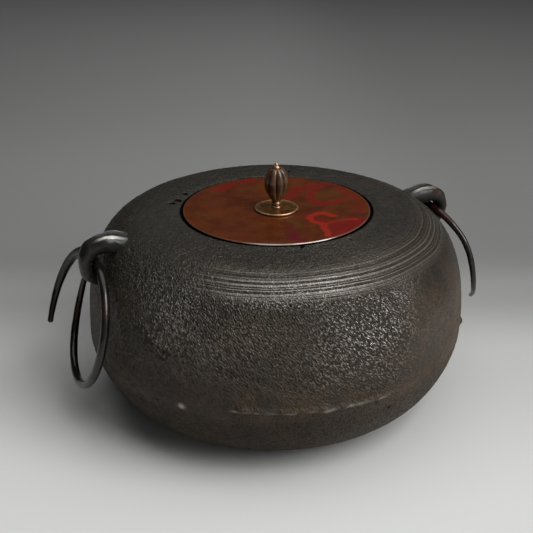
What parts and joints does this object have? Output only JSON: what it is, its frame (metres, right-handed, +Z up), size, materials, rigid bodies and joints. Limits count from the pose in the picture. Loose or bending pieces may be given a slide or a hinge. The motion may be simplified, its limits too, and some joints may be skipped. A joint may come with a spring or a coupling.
{
  "type": "tea kettle",
  "caption": "Round cast-iron tea kettle with lugs, loose carrying rings that swing, and a lift-off bronze lid with a bud knob.",
  "frame": {"origin": "centre of the base, on the table", "axes": "+Z up, the lugs on the X axis with the left lug at -X, and the front at -Y"},
  "size_m": [0.3235, 0.2734, 0.1706],
  "materials": {
    "body_iron": "rough cast, dark brown-grey",
    "pan_iron": "smoother cast, dark brown",
    "lug_iron": "smooth cast, satin",
    "ring_iron": "forged, near black with rust tints",
    "lid_bronze": "brown and red patina, satin",
    "knob_bronze": "aged bronze, satin",
    "knob_brass": "worn brass",
    "knob_copper": "worn copper",
    "plate_iron": "rusted iron plate",
    "putty": "hard black lacquer putty"
  },
  "bodies": {
    "kettle": {"body_shell": "body_iron", "bottom_pan": "pan_iron", "joint_seal": "putty", "left_lug": "lug_iron", "right_lug": "lug_iron", "sounding_plate_1": "plate_iron", "sounding_plate_2": "plate_iron", "sounding_plate_3": "plate_iron", "plate_lacquer": "putty"},
    "lid": {"lid_plate": "lid_bronze", "lid_collar": "lid_bronze", "knob_seat": "knob_bronze", "knob_neck": "knob_brass", "knob_bud": "knob_bronze", "knob_collar": "knob_brass", "knob_pin": "knob_copper", "clinch_washer": "knob_copper"},
    "left_ring": {"left_ring": "ring_iron"},
    "right_ring": {"right_ring": "ring_iron"}
  },
  "joints": [
    {"name": "lid_lift", "type": "slide", "parent": "kettle", "child": "lid", "axis": [0, 0, 1], "range_m": [0, 0.12]},
    {"name": "left_ring_swing", "type": "hinge", "parent": "kettle", "child": "left_ring", "pos_m": [-0.13022, 0, 0.1187], "axis": [-0.0104, 0.9918, 0.1271], "range_deg": [0, 165]},
    {"name": "right_ring_swing", "type": "hinge", "parent": "kettle", "child": "right_ring", "pos_m": [0.13022, 0, 0.1187], "axis": [0.1187, -0.9805, -0.1564], "range_deg": [0, 165]}
  ]
}
